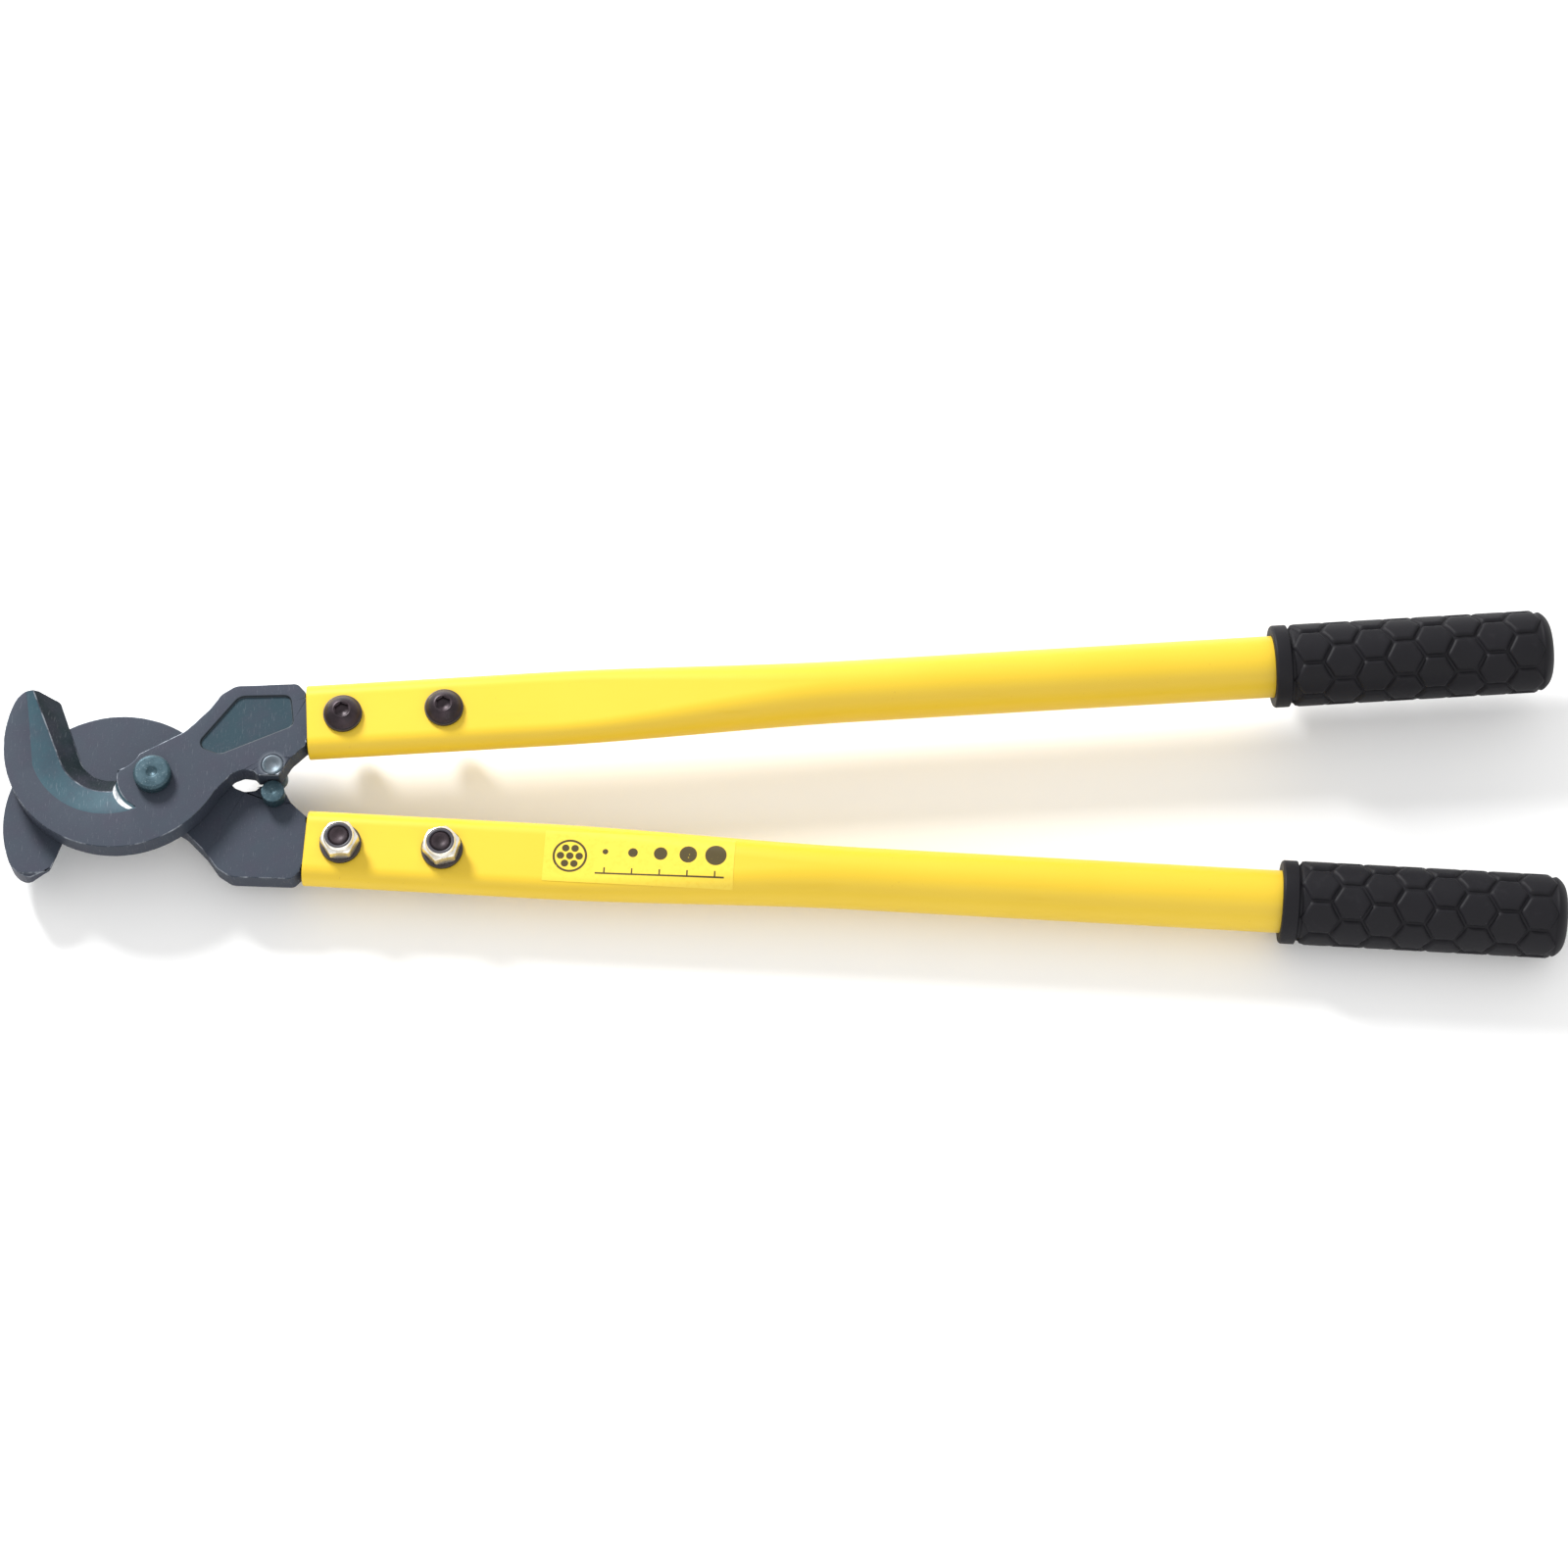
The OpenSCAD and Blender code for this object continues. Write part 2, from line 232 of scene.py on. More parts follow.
def phosphate(half):
    def build(graph, place):
        point = inHalf(graph, place, half)
        x, y, z = graph.parts(point)
        normal = graph.add("ShaderNodeTexCoord", None, None, "Normal")
        lift = graph.parts(normal)[2] * (-1 if half == "lower" else 1)
        outer = blade["gap"] + blade["thickness"]
        facing = lift.ramp(0.4, 0.6)
        below = z < outer - 0.07 * mm
        ground = facing * below * (x < blade["grindEnd"])
        # painted shade: steep ground faces get the dark facet colour
        facet = ground * (lift < 0.86)
        panel = facing * (z < outer - 0.6 * blade["panelDepth"]) * (x > 0.01)
        fromPivot = graph.length2(x, y)
        # painted highlight: the step wall round the boss is painted near white, partly bare machined metal and
        # partly the light it reflects
        wall = ((fromPivot - blade["bossRadius"]).size() < 0.12 * mm) * (lift.size() < 0.5)
        wall = wall * (x < 0) * (y < 0)
        fromStop = graph.length2(x - blade["stopX"], y - blade["stopY"])
        # painted highlight: a lighter ring round the stop pin on the outer face
        dimpleHighlight = fromStop.ramp(6.2 * mm, 3.6 * mm) * (z > outer - 1 * mm)

        mottle = graph.noise(point, 95, 4, 0.6)
        grain = graph.noise(point, 1500, 2, 0.7)
        stain = graph.noise(point, 28, 3, 0.55)
        scale = graph.add("ShaderNodeMapping", None, {
            "Vector": point, "Rotation": (0, 0, 0.5), "Scale": (9, 1, 1)})
        scratch = graph.noise(scale, 260, 2, 0.5).ramp(0.63, 0.72)
        # grinding lines run round the throat
        spin = graph.length2(x - blade["throatX"], y - blade["throatY"])
        lines = graph.add("ShaderNodeTexNoise", {"noise_dimensions": "1D"}, {
            "W": spin, "Scale": 2600, "Detail": 2})

        colour = graph.mix(ground, blade["face"], blade["grind"])
        colour = graph.mix(facet, colour, blade["facet"])
        colour = graph.mix(panel, colour, blade["panel"])
        colour = graph.mix(mottle.ramp(0.35, 0.75) * 0.35, colour, rgb(0.042, 0.036, 0.058))
        colour = graph.mix(stain.ramp(0.55, 0.75) * 0.3, colour, rgb(0.030, 0.055, 0.070))
        colour = graph.mix(grain.ramp(0.62, 0.8) * 0.35, colour, rgb(0.13, 0.14, 0.16))
        colour = graph.mix(scratch * 0.12, colour, rgb(0.22, 0.23, 0.25))
        colour = graph.mix(dimpleHighlight * 0.35, colour, rgb(0.25, 0.28, 0.31))
        colour = graph.mix(wall, colour, blade["bright"])
        roughness = 0.5 + mottle * 0.14 - scratch * 0.12 - wall * 0.25 + facet * 0.05
        height = grain * 0.6 + mottle * 0.5 - scratch * 0.4
        relief = graph.bump(height, 0.35, 0.12 * mm)
        relief = graph.bump(lines * ground, 0.25, 0.06 * mm, relief)
        return {"Base Color": colour, "Roughness": roughness, "Metallic": 0.2 + wall * 0.6,
                "Normal": relief}
    return surface("phosphate_" + half, build, Specular_IOR_Level=0.25)


def wornEdgeAndPaintedShade(graph, place):
    x, y, z = graph.parts(place)
    y = y.size()  # the two halves match across the centre line
    shelteredWithPaintedShade = x < 55 * mm
    for slopeX, slopeY, start in blade["panelSides"]:
        shelteredWithPaintedShade = shelteredWithPaintedShade * (x * slopeX + y * slopeY > start)
    patch = graph.noise(place, 120, 4, 0.65)
    grain = graph.noise(place, 1500, 2)
    wear = patch.ramp(0.47, 0.66) * (1 - shelteredWithPaintedShade)
    # painted shade: broken edges round the panel get the dark rim colour; they are also kept free of wear
    colour = graph.mix(shelteredWithPaintedShade, blade["face"], blade["rim"])
    colour = graph.mix(wear, colour, blade["worn"])
    colour = graph.mix(grain.ramp(0.6, 0.8) * (0.5 - shelteredWithPaintedShade * 0.4), colour,
                       rgb(0.3, 0.32, 0.34))
    return {"Base Color": colour, "Roughness": 0.42 + patch * 0.15,
            "Metallic": 0.6 - shelteredWithPaintedShade * 0.4,
            "Normal": graph.bump(grain, 0.2, 0.05 * mm)}


def groundPaintedHighlight(graph, place):  # fresh metal where the grinding runs out at the boss, with a painted highlight
    lines = graph.noise(graph.add("ShaderNodeMapping", None, {
        "Vector": place, "Scale": (1, 1, 7)}), 900, 3, 0.6)
    patch = graph.noise(place, 420, 3)
    x, y, z = graph.parts(place)
    # painted highlight: beyond about 15 mm from the pivot the colour turns near white
    foot = (graph.length2(x, y) + patch * 0.8 * mm).ramp(15.1 * mm, 15.6 * mm)
    colour = graph.mix(patch.ramp(0.42, 0.62) * 0.8, blade["bright"], rgb(0.24, 0.27, 0.30))
    colour = graph.mix(foot, blade["grind"], colour)
    return {"Base Color": colour, "Roughness": 0.34 + lines * 0.16, "Metallic": 0.25,
            "Normal": graph.bump(lines, 0.3, 0.06 * mm)}


def yellowEnamel(graph, place):
    cloud = graph.noise(place, 22, 3)
    peel = graph.noise(place, 420, 2, 0.4)
    rub = graph.add("ShaderNodeMapping", None, {"Vector": place, "Scale": (0.12, 1, 1)})
    rub = graph.noise(rub, 170, 3, 0.6).ramp(0.58, 0.78)
    speck = graph.noise(place, 620, 1).ramp(0.76, 0.8)
    colour = graph.mix(cloud, rgb(0.67, 0.45, 0.018), rgb(0.71, 0.49, 0.029))
    colour = graph.mix(rub * 0.16, colour, rgb(0.62, 0.38, 0.02))
    colour = graph.mix(speck * 0.25, colour, rgb(0.45, 0.24, 0.02))
    return {"Base Color": colour, "Roughness": 0.42 + cloud * 0.06 + rub * 0.14,
            "Coat Weight": 0.12 - rub * 0.08,
            "Normal": graph.bump(peel + rub * 0.3, 0.14, 0.1 * mm)}


def bareTubeEnd(graph, place):
    grain = graph.noise(place, 900, 3)
    colour = graph.mix(grain.ramp(0.4, 0.6), rgb(0.30, 0.19, 0.03), rgb(0.11, 0.10, 0.09))
    return {"Base Color": colour, "Roughness": 0.55 + grain * 0.1, "Metallic": 0.4,
            "Normal": graph.bump(grain, 0.3, 0.08 * mm)}


def blackRubber(graph, place):
    cloud = graph.noise(place, 60, 3)
    grain = graph.noise(place, 1900, 2, 0.7)
    dust = graph.noise(place, 240, 4, 0.65).ramp(0.55, 0.8)
    colour = graph.mix(cloud, rgb(0.0065, 0.0062, 0.0082), rgb(0.010, 0.0095, 0.0125))
    colour = graph.mix(dust * 0.3, colour, rgb(0.026, 0.025, 0.029))
    return {"Base Color": colour, "Roughness": 0.5 + cloud * 0.12 + dust * 0.12,
            "Normal": graph.bump(grain + cloud * 0.4, 0.3, 0.1 * mm)}


def blackOxide(graph, place):
    cloud = graph.noise(place, 240, 3)
    grain = graph.noise(place, 2200, 2)
    colour = graph.mix(cloud.ramp(0.3, 0.7), rgb(0.017, 0.011, 0.014), rgb(0.036, 0.023, 0.029))
    colour = graph.mix(grain.ramp(0.62, 0.8) * 0.4, colour, rgb(0.11, 0.09, 0.09))
    return {"Base Color": colour, "Roughness": 0.3 + cloud * 0.16, "Metallic": 0.55,
            "Normal": graph.bump(grain, 0.15, 0.05 * mm)}


def zincPlate(graph, place):
    cloud = graph.noise(place, 300, 3, 0.6)
    grain = graph.noise(place, 1700, 2)
    colour = graph.mix(cloud.ramp(0.35, 0.65), rgb(0.90, 0.88, 0.83), rgb(0.72, 0.67, 0.57))
    colour = graph.mix(grain.ramp(0.6, 0.8) * 0.4, colour, rgb(0.32, 0.27, 0.2))
    return {"Base Color": colour, "Roughness": 0.22 + cloud * 0.16, "Metallic": 0.9,
            "Normal": graph.bump(grain + cloud, 0.2, 0.06 * mm)}


def darkWasher(graph, place):
    cloud = graph.noise(place, 260, 3)
    grain = graph.noise(place, 1600, 2)
    colour = graph.mix(cloud, rgb(0.035, 0.030, 0.031), rgb(0.075, 0.062, 0.060))
    colour = graph.mix(grain.ramp(0.62, 0.8) * 0.4, colour, rgb(0.16, 0.14, 0.13))
    return {"Base Color": colour, "Roughness": 0.36 + cloud * 0.15, "Metallic": 0.6,
            "Normal": graph.bump(grain, 0.2, 0.05 * mm)}


def nylon(graph, place):
    cloud = graph.noise(place, 400, 3)
    colour = graph.mix(cloud, rgb(0.030, 0.027, 0.036), rgb(0.055, 0.050, 0.062))
    return {"Base Color": colour, "Roughness": 0.4 + cloud * 0.12,
            "Normal": graph.bump(cloud, 0.2, 0.08 * mm)}


def bluedSteel(centreX, centreY, peened=0):  # tool marks run round the pin's own centre
    def build(graph, place):
        x, y, z = graph.parts(place)
        reach = graph.length2(x - centreX, y - centreY)
        marks = graph.add("ShaderNodeTexNoise", {"noise_dimensions": "1D"}, {
            "W": reach, "Scale": 3400, "Detail": 2})
        cloud = graph.noise(place, 330, 4, 0.65)
        grain = graph.noise(place, 1500, 2)
        colour = graph.mix(cloud.ramp(0.3, 0.7), rgb(0.020, 0.048, 0.064), rgb(0.040, 0.078, 0.098))
        colour = graph.mix(grain.ramp(0.58, 0.78) * 0.6, colour, rgb(0.15, 0.20, 0.22))
        struck = ((z - shearZ).size() > blade["thickness"] - 2 * mm) * peened
        colour = graph.mix(struck * cloud.ramp(0.2, 0.6), colour, rgb(0.095, 0.115, 0.135))
        return {"Base Color": colour, "Roughness": 0.36 + cloud * 0.16, "Metallic": 0.55,
                "Normal": graph.bump(marks + grain * 0.6 + struck * cloud, 0.3, 0.06 * mm)}
    return build


print("materials")
finishes = {
    "enamel": surface("yellow_enamel", yellowEnamel, Coat_Roughness=0.16,
                      Specular_IOR_Level=0.35),
    "tubeEnd": surface("tube_end", bareTubeEnd),
    "rubber": surface("black_rubber", blackRubber, Specular_IOR_Level=0.18),
    "oxide": surface("black_oxide", blackOxide),
    "zinc": surface("zinc_plate", zincPlate),
    "washer": surface("dark_washer", darkWasher),
    "nylon": surface("nylon", nylon),
    "edge": surface("worn_edge_and_shade", wornEdgeAndPaintedShade),
    "bright": surface("ground_painted_highlight", groundPaintedHighlight),
}


def hexRadius(angle, flats):
    return flats / 2 / math.cos((angle + math.pi / 6) % (math.pi / 3) - math.pi / 6)


def filleted(points, radius, steps=3):  # rounds each inner corner of a chain
    out = [points[0]]
    for before, here, after in zip(points, points[1:], points[2:]):
        a, b, c = Vector(before), Vector(here), Vector(after)
        reach = min(radius, (a - b).length * 0.45, (c - b).length * 0.45)
        start, end = b + (a - b).normalized() * reach, b + (c - b).normalized() * reach
        for i in range(steps + 1):
            t = i / steps
            out.append(tuple(start * (1 - t) ** 2 + b * 2 * t * (1 - t) + end * t * t))
    return out + [points[-1]]


def ringMesh(name, rings, closed=False):
    count = len(rings[0])
    verts = [point for ring in rings for point in ring]
    faces = []
    for k in range(len(rings) if closed else len(rings) - 1):
        for i in range(count):
            a, b = k * count, (k + 1) % len(rings) * count
            j = (i + 1) % count
            faces.append((a + i, a + j, b + j, b + i))
    if not closed:
        for ring, start, turn in ((rings[0], 0, 1), (rings[-1], (len(rings) - 1) * count, -1)):
            verts.append(sum((Vector(p) for p in ring), Vector()) / count)
            for i in range(count):
                faces.append((start + i, len(verts) - 1, start + (i + 1) % count)[::turn])
    mesh = bpy.data.meshes.new(name)
    mesh.from_pydata(verts, [], faces)
    return mesh


def turned(name, profile, closed=False, segments=72):
    rings = []
    for radius, height, *flats in profile:
        ring = []
        for i in range(segments):
            angle = math.tau * i / segments
            r = min(radius, hexRadius(angle, flats[0])) if flats and flats[0] else radius
            ring.append((r * math.cos(angle), r * math.sin(angle), height))
        rings.append(ring)
    return ringMesh(name, rings, closed)


def smoothed(mesh, angle=34):
    solid = bmesh.new()
    solid.from_mesh(mesh)
    bmesh.ops.remove_doubles(solid, verts=solid.verts, dist=weld)
    bmesh.ops.recalc_face_normals(solid, faces=solid.faces)
    solid.to_mesh(mesh)
    solid.free()
    mesh.shade_smooth()
    mesh.set_sharp_from_angle(angle=math.radians(angle))
    return mesh


def addPiece(name, mesh, body, nodes, materials):
    for material in materials:
        if material.name not in mesh.materials:
            mesh.materials.append(material)
    piece = bpy.data.objects.new(name, mesh)
    scene.collection.objects.link(piece)
    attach(piece, body)
    if nodes:
        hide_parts(*nodes)
    return piece


def baked(source, name):  # the evaluated object as a plain mesh
    graph = bpy.context.evaluated_depsgraph_get()
    mesh = bpy.data.meshes.new_from_object(source.evaluated_get(graph))
    mesh.name = name
    bpy.data.objects.remove(source)
    return mesh


def geometryTree(name, sockets):
    tree = bpy.data.node_groups.new(name, "GeometryNodeTree")
    for label, kind in sockets.items():
        tree.interface.new_socket(label, in_out="INPUT", socket_type="NodeSocket" + kind)
    tree.interface.new_socket("Geometry", in_out="OUTPUT", socket_type="NodeSocketGeometry")
    graph = Graph(tree)
    return graph, graph.add("NodeGroupInput")


def finishTree(graph, given, geometry):
    whole = graph.add("GeometryNodeRealizeInstances", None, {"Geometry": geometry})
    smooth = graph.add("GeometryNodeSetShadeSmooth", None, {"Geometry": whole})
    painted = graph.add("GeometryNodeSetMaterial", None, {
        "Geometry": smooth, "Material": given["Material"]})
    graph.add("NodeGroupOutput", None, {"Geometry": painted})
    return graph.tree


def grown(name, tree, values):  # runs a geometry tree and keeps its mesh
    holder = bpy.data.objects.new(name, bpy.data.meshes.new(name))
    scene.collection.objects.link(holder)
    modifier = holder.modifiers.new(name, "NODES")
    modifier.node_group = tree
    for item in tree.interface.items_tree:
        if item.in_out == "INPUT":
            modifier[item.identifier] = values[item.name]
    return baked(holder, name)


# blades: the forged shape with its sharp corners broken
def bladeMesh(node, half):
    mesh = frame["nodes"][node].data.copy()
    solid = bmesh.new()
    solid.from_mesh(mesh)
    bmesh.ops.remove_doubles(solid, verts=solid.verts, dist=blade["weld"])
    bmesh.ops.dissolve_degenerate(solid, edges=solid.edges, dist=blade["weld"])
    solid.to_mesh(mesh)
    solid.free()
    mesh.materials.clear()
    mesh.materials.append(phosphate(half))
    mesh.materials.append(finishes["edge"])
    mesh.shade_smooth()
    holder = bpy.data.objects.new(node, mesh)
    scene.collection.objects.link(holder)
    soften = holder.modifiers.new("corners", "BEVEL")
    soften.width = blade["edgeWidth"]
    soften.segments = 2
    soften.limit_method = "ANGLE"
    soften.angle_limit = math.radians(blade["edgeAngle"])
    soften.use_clamp_overlap = False
    soften.material = 1
    weigh = holder.modifiers.new("shading", "WEIGHTED_NORMAL")
    weigh.keep_sharp = True
    return baked(holder, node)


def groundHeight(x, y):  # height of the ground surface over the shear plane
    past = math.hypot(x - blade["throatX"], y - blade["throatY"])
    low, top = blade["gap"] + blade["edgeLand"], blade["gap"] + blade["thickness"]
    if past < blade["facetEnd"]:
        share = (past - blade["throatRadius"]) / (blade["facetEnd"] - blade["throatRadius"])
        return low + share * (blade["facetTop"] - low)
    share = (past - blade["facetEnd"]) / (blade["bevelEnd"] - blade["facetEnd"])
    return min(top, blade["facetTop"] + share * (top - blade["facetTop"]))


def filletMesh(name, steps=48):  # the slope left by the grinding wheel beside the boss
    top, inner = blade["gap"] + blade["thickness"] - 0.15 * mm, blade["bossRadius"] - 0.25 * mm
    rings = []
    for i in range(steps + 1):
        t = i / steps
        angle = math.radians(blade["filletFrom"] * (1 - t) + blade["filletTo"] * t)
        outer = inner + 0.4 * mm + blade["filletWidth"] * math.sin(math.pi * t) ** 0.45
        foot = groundHeight(outer * math.cos(angle), outer * math.sin(angle)) - 0.12 * mm
        foot = min(foot, top - 0.1 * mm)
        section = [(inner, top)]
        for k in range(1, 6):
            u = k / 6
            section.append((inner + (outer - inner) * u,
                            top + (foot - top) * (u + 0.35 * u * (1 - u))))
        section += [(outer, foot), (inner, foot - 0.3 * mm)]
        rings.append([Vector((r * math.cos(angle), r * math.sin(angle), z)) for r, z in section])
    return ringMesh(name, rings)


print("blades")
for half, node in (("upper", "front_blade"), ("lower", "rear_blade")):
    addPiece(node + "_forged", bladeMesh(node, half), halves[half]["body"], [node],
             [])
    mesh = filletMesh(node + "_runout")
    mesh.transform(halves[half]["place"])
    addPiece(node + "_runout", smoothed(mesh), halves[half]["body"], [],
             [finishes["bright"]])


# handle tubes: pressed flat at the head, then blended to round
def sectionAt(s):
    t = min(max((s - handle["blendFrom"]) / (handle["blendTo"] - handle["blendFrom"]), 0), 1)
    t = t * t * (3 - 2 * t)
    grow = handle["diameter"]
    return (handle["flatWidth"] + (grow - handle["flatWidth"]) * t,
            handle["flatHeight"] + (grow - handle["flatHeight"]) * t,
            handle["flatCorner"] + (grow / 2 - handle["flatCorner"]) * t)


def sectionRing(s, inset):
    width, height, corner = sectionAt(s)
    halfW, halfH, r = width / 2 - inset, height / 2 - inset, corner - inset
    ring = []
    for i in range(handle["points"]):
        angle = math.tau * i / handle["points"]
        c, d = math.cos(angle), math.sin(angle)
        reach = min(halfW / max(abs(c), 1e-9), halfH / max(abs(d), 1e-9))
        cornerX, cornerY = halfW - r, halfH - r
        if abs(c) * reach > cornerX and abs(d) * reach > cornerY:
            along = abs(c) * cornerX + abs(d) * cornerY
            reach = along + math.sqrt(max(along ** 2 - cornerX ** 2 - cornerY ** 2 + r ** 2, 0))
        ring.append(Vector((s, c * reach, d * reach)))
    return ring


def tubeMesh(name):
    rim, end = handle["rim"], handle["length"]
    steps = round((handle["blendTo"] - handle["blendFrom"]) / handle["blendStep"])
    middle = [handle["blendFrom"] + i * handle["blendStep"] for i in range(steps + 1)]
    places = [rim, 30 * mm, 60 * mm] + middle + [300 * mm, 390 * mm, end - rim]
    outer = [sectionRing(0, rim)] + [sectionRing(s, 0) for s in places] + [sectionRing(end, rim)]
    inner = [sectionRing(s, handle["wall"]) for s in reversed([0] + places + [end])]
    mesh = ringMesh(name, outer + inner, closed=True)
    mesh.materials.append(finishes["enamel"])
    mesh.materials.append(finishes["tubeEnd"])
    painted = (len(outer) - 1) * handle["points"]
    for face in mesh.polygons:
        face.material_index = 0 if face.index < painted else 1
    return mesh


print("handles")
for side, half in halves.items():
    mesh = tubeMesh(side + "_tube")
    mesh.transform(half["place"] @ onHandle)
    addPiece(side + "_tube", smoothed(mesh), half["body"], [side + "_handle_tube"],
             [])


# grips: a sleeve with a plain collar, and hexagonal pads wrapped round it
grip = {
    "radius": 16 * mm,
    "bore": 12.05 * mm,
    "start": 374 * mm,
    "end": 482.5 * mm,
    "endRadius": 7 * mm,
    "floor": 14.9 * mm,
    "collar": 6.4 * mm,
    "groove": 1 * mm,
    "padColumns": 8,
    "padRows": 7,
    "padPitch": 11.85 * mm,
    "padGap": 0.3 * mm,
    "padSlope": 0.85 * mm,
    "padRoot": 0.25 * mm,  # how far a pad is sunk in the sleeve
    "firstPad": 14.2 * mm,
    "facing": {"upper": -21, "lower": 163},  # where the even columns have a pad, from Z towards Y
}


def sleeveMesh(name):
    r, start, end = grip["radius"], grip["start"], grip["end"]
    collar, floor, cap = start + grip["collar"], grip["floor"], end - grip["endRadius"]
    grooveEnd = collar + grip["groove"]
    outline = [(grip["bore"], handle["length"]), (grip["bore"], start), (r - 0.6 * mm, start),
               (r, start + 0.7 * mm), (r, collar - 0.5 * mm), (r - 1.5 * mm, collar),
               (r - 1.5 * mm, grooveEnd), (floor, grooveEnd + 0.4 * mm), (floor, cap + 2 * mm)]
    for i in range(9):
        angle = math.radians(26 + i * 8)
        outline.append((r - grip["endRadius"] * (1 - math.cos(angle)),
                        cap + grip["endRadius"] * math.sin(angle)))
    outline += [(8 * mm, end), (7.4 * mm, end - 0.5 * mm), (2 * mm, end - 0.5 * mm)]
    return turned(name, filleted(outline, 0.35 * mm))


def padTree():
    graph, given = geometryTree("hexPads", {
        "Columns": "Int", "Rows": "Int", "Pitch": "Float", "Gap": "Float", "Slope": "Float",
        "Height": "Float", "Radius": "Float", "Start": "Float", "End": "Float",
        "End Radius": "Float", "Root": "Float", "Phase": "Float", "Material": "Material"})
    cell = given["Pitch"] / 1.5
    apothem = cell * math.cos(math.pi / 6)
    tile = graph.add("GeometryNodeMeshCircle", {"fill_type": "TRIANGLE_FAN"}, {
        "Vertices": 6, "Radius": cell - given["Gap"]})
    tile = graph.add("GeometryNodeSubdivideMesh", None, {"Mesh": tile, "Level": 3})
    x, y, z = graph.parts(graph.add("GeometryNodeInputPosition"))
    slant, level = x * math.cos(math.pi / 6), y * math.sin(math.pi / 6)
    edge = graph.greatest((slant + level).size(), (slant - level).size())
    inside = apothem - given["Gap"] - graph.greatest(edge, y.size())
    rise = inside.ramp(0, given["Slope"]) * (given["Height"] + given["Root"]) - given["Root"]
    top = graph.add("GeometryNodeSetPosition", None, {
        "Geometry": tile, "Position": graph.join(x, y, rise)})
    base = graph.add("GeometryNodeSetPosition", None, {
        "Geometry": tile, "Offset": graph.join(0, 0, given["Root"] * -1)})
    base = graph.add("GeometryNodeFlipFaces", None, {"Mesh": base})
    tile = graph.add("GeometryNodeJoinGeometry", None, {"Geometry": [top, base]})
    tile = graph.add("GeometryNodeMergeByDistance", None, {
        "Geometry": tile, "Distance": 0.001 * mm})

    rowPitch = apothem * 2
    grid = graph.add("GeometryNodeMeshGrid", None, {
        "Size X": (given["Columns"] - 1) * given["Pitch"],
        "Size Y": (given["Rows"] - 1) * rowPitch,
        "Vertices X": given["Columns"], "Vertices Y": given["Rows"]})
    steps = x / given["Pitch"] + (given["Columns"] - 1) / 2
    column = steps.maths("ROUND", steps)
    odd = column.maths("FLOORED_MODULO", column, 2)
    grid = graph.add("GeometryNodeSetPosition", None, {
        "Geometry": grid, "Offset": graph.join(0, odd * rowPitch / 2, 0)})
    pads = graph.add("GeometryNodeInstanceOnPoints", None, {"Points": grid, "Instance": tile})
    pads = graph.add("GeometryNodeRealizeInstances", None, {"Geometry": pads})

    place = x + given["Start"] + (given["Columns"] - 1) * given["Pitch"] / 2
    over = graph.greatest(place - given["End"] + given["End Radius"], 0)
    curve = given["End Radius"] * given["End Radius"] - over * over
    drop = given["End Radius"] - graph.greatest(curve, 0).root()
    radius = given["Radius"] - drop - given["Height"] + z
    turn = y * math.tau / (given["Rows"] * rowPitch) + given["Phase"]
    wrapped = graph.join(place, radius * turn.maths("SINE", turn),
                         radius * turn.maths("COSINE", turn))
    pads = graph.add("GeometryNodeSetPosition", None, {"Geometry": pads, "Position": wrapped})
    return finishTree(graph, given, pads)


print("grips")
hexPads = padTree()
for side, half in halves.items():
    mesh = sleeveMesh(side + "_sleeve")
    mesh.transform(half["place"] @ onHandle @ Matrix.Rotation(math.pi / 2, 4, "Y"))
    addPiece(side + "_grip_sleeve", smoothed(mesh), half["body"], [side + "_grip"],
             [finishes["rubber"]])
    mesh = grown(side + "_pads", hexPads, {
        "Columns": grip["padColumns"], "Rows": grip["padRows"], "Pitch": grip["padPitch"],
        "Gap": grip["padGap"], "Slope": grip["padSlope"],
        "Height": grip["radius"] - grip["floor"], "Radius": grip["radius"],
        "Start": grip["start"] + grip["firstPad"], "End": grip["end"],
        "End Radius": grip["endRadius"], "Root": grip["padRoot"],
        "Phase": math.radians(grip["facing"][side]) - math.pi / grip["padRows"],
        "Material": finishes["rubber"]})
    mesh.transform(half["place"] @ onHandle)
    mesh.set_sharp_from_angle(angle=math.radians(80))
    addPiece(side + "_grip_pads", mesh, half["body"], [], [])


# screws, washers and lock nuts
fastener = {
    "first": 14 * mm,
    "pitch": 39 * mm,
    "count": 2,
    "washer": 1.6 * mm,
    "headWasher": 7.5 * mm,
    "nutWasher": 8 * mm,
    "thread": 4 * mm,
    "head": 7 * mm,
    "headHeight": 4.4 * mm,
    "socket": 5 * mm,
    "socketDepth": 2.6 * mm,
    "nut": 13 * mm,
    "nutHeight": 8 * mm,
    "hexShare": 0.74,  # of the nut's height
    "chamferFrom": 0.485,  # these five are shares of the width across flats
    "chamferStep": 0.025,
    "chamferRise": 0.1,
    "collarFoot": 0.452,
    "collarTop": 0.41,
    "insert": 1.6 * mm,
    "insertWall": 1.2 * mm,
}


def washerMesh(name, outer, inner, height):
    middle = (outer + inner) / 2
    outline = [(middle, 0), (outer, 0), (outer, height), (inner, height), (inner, 0), (middle, 0)]
    return turned(name, filleted(outline, 0.3 * mm)[:-1], closed=True)


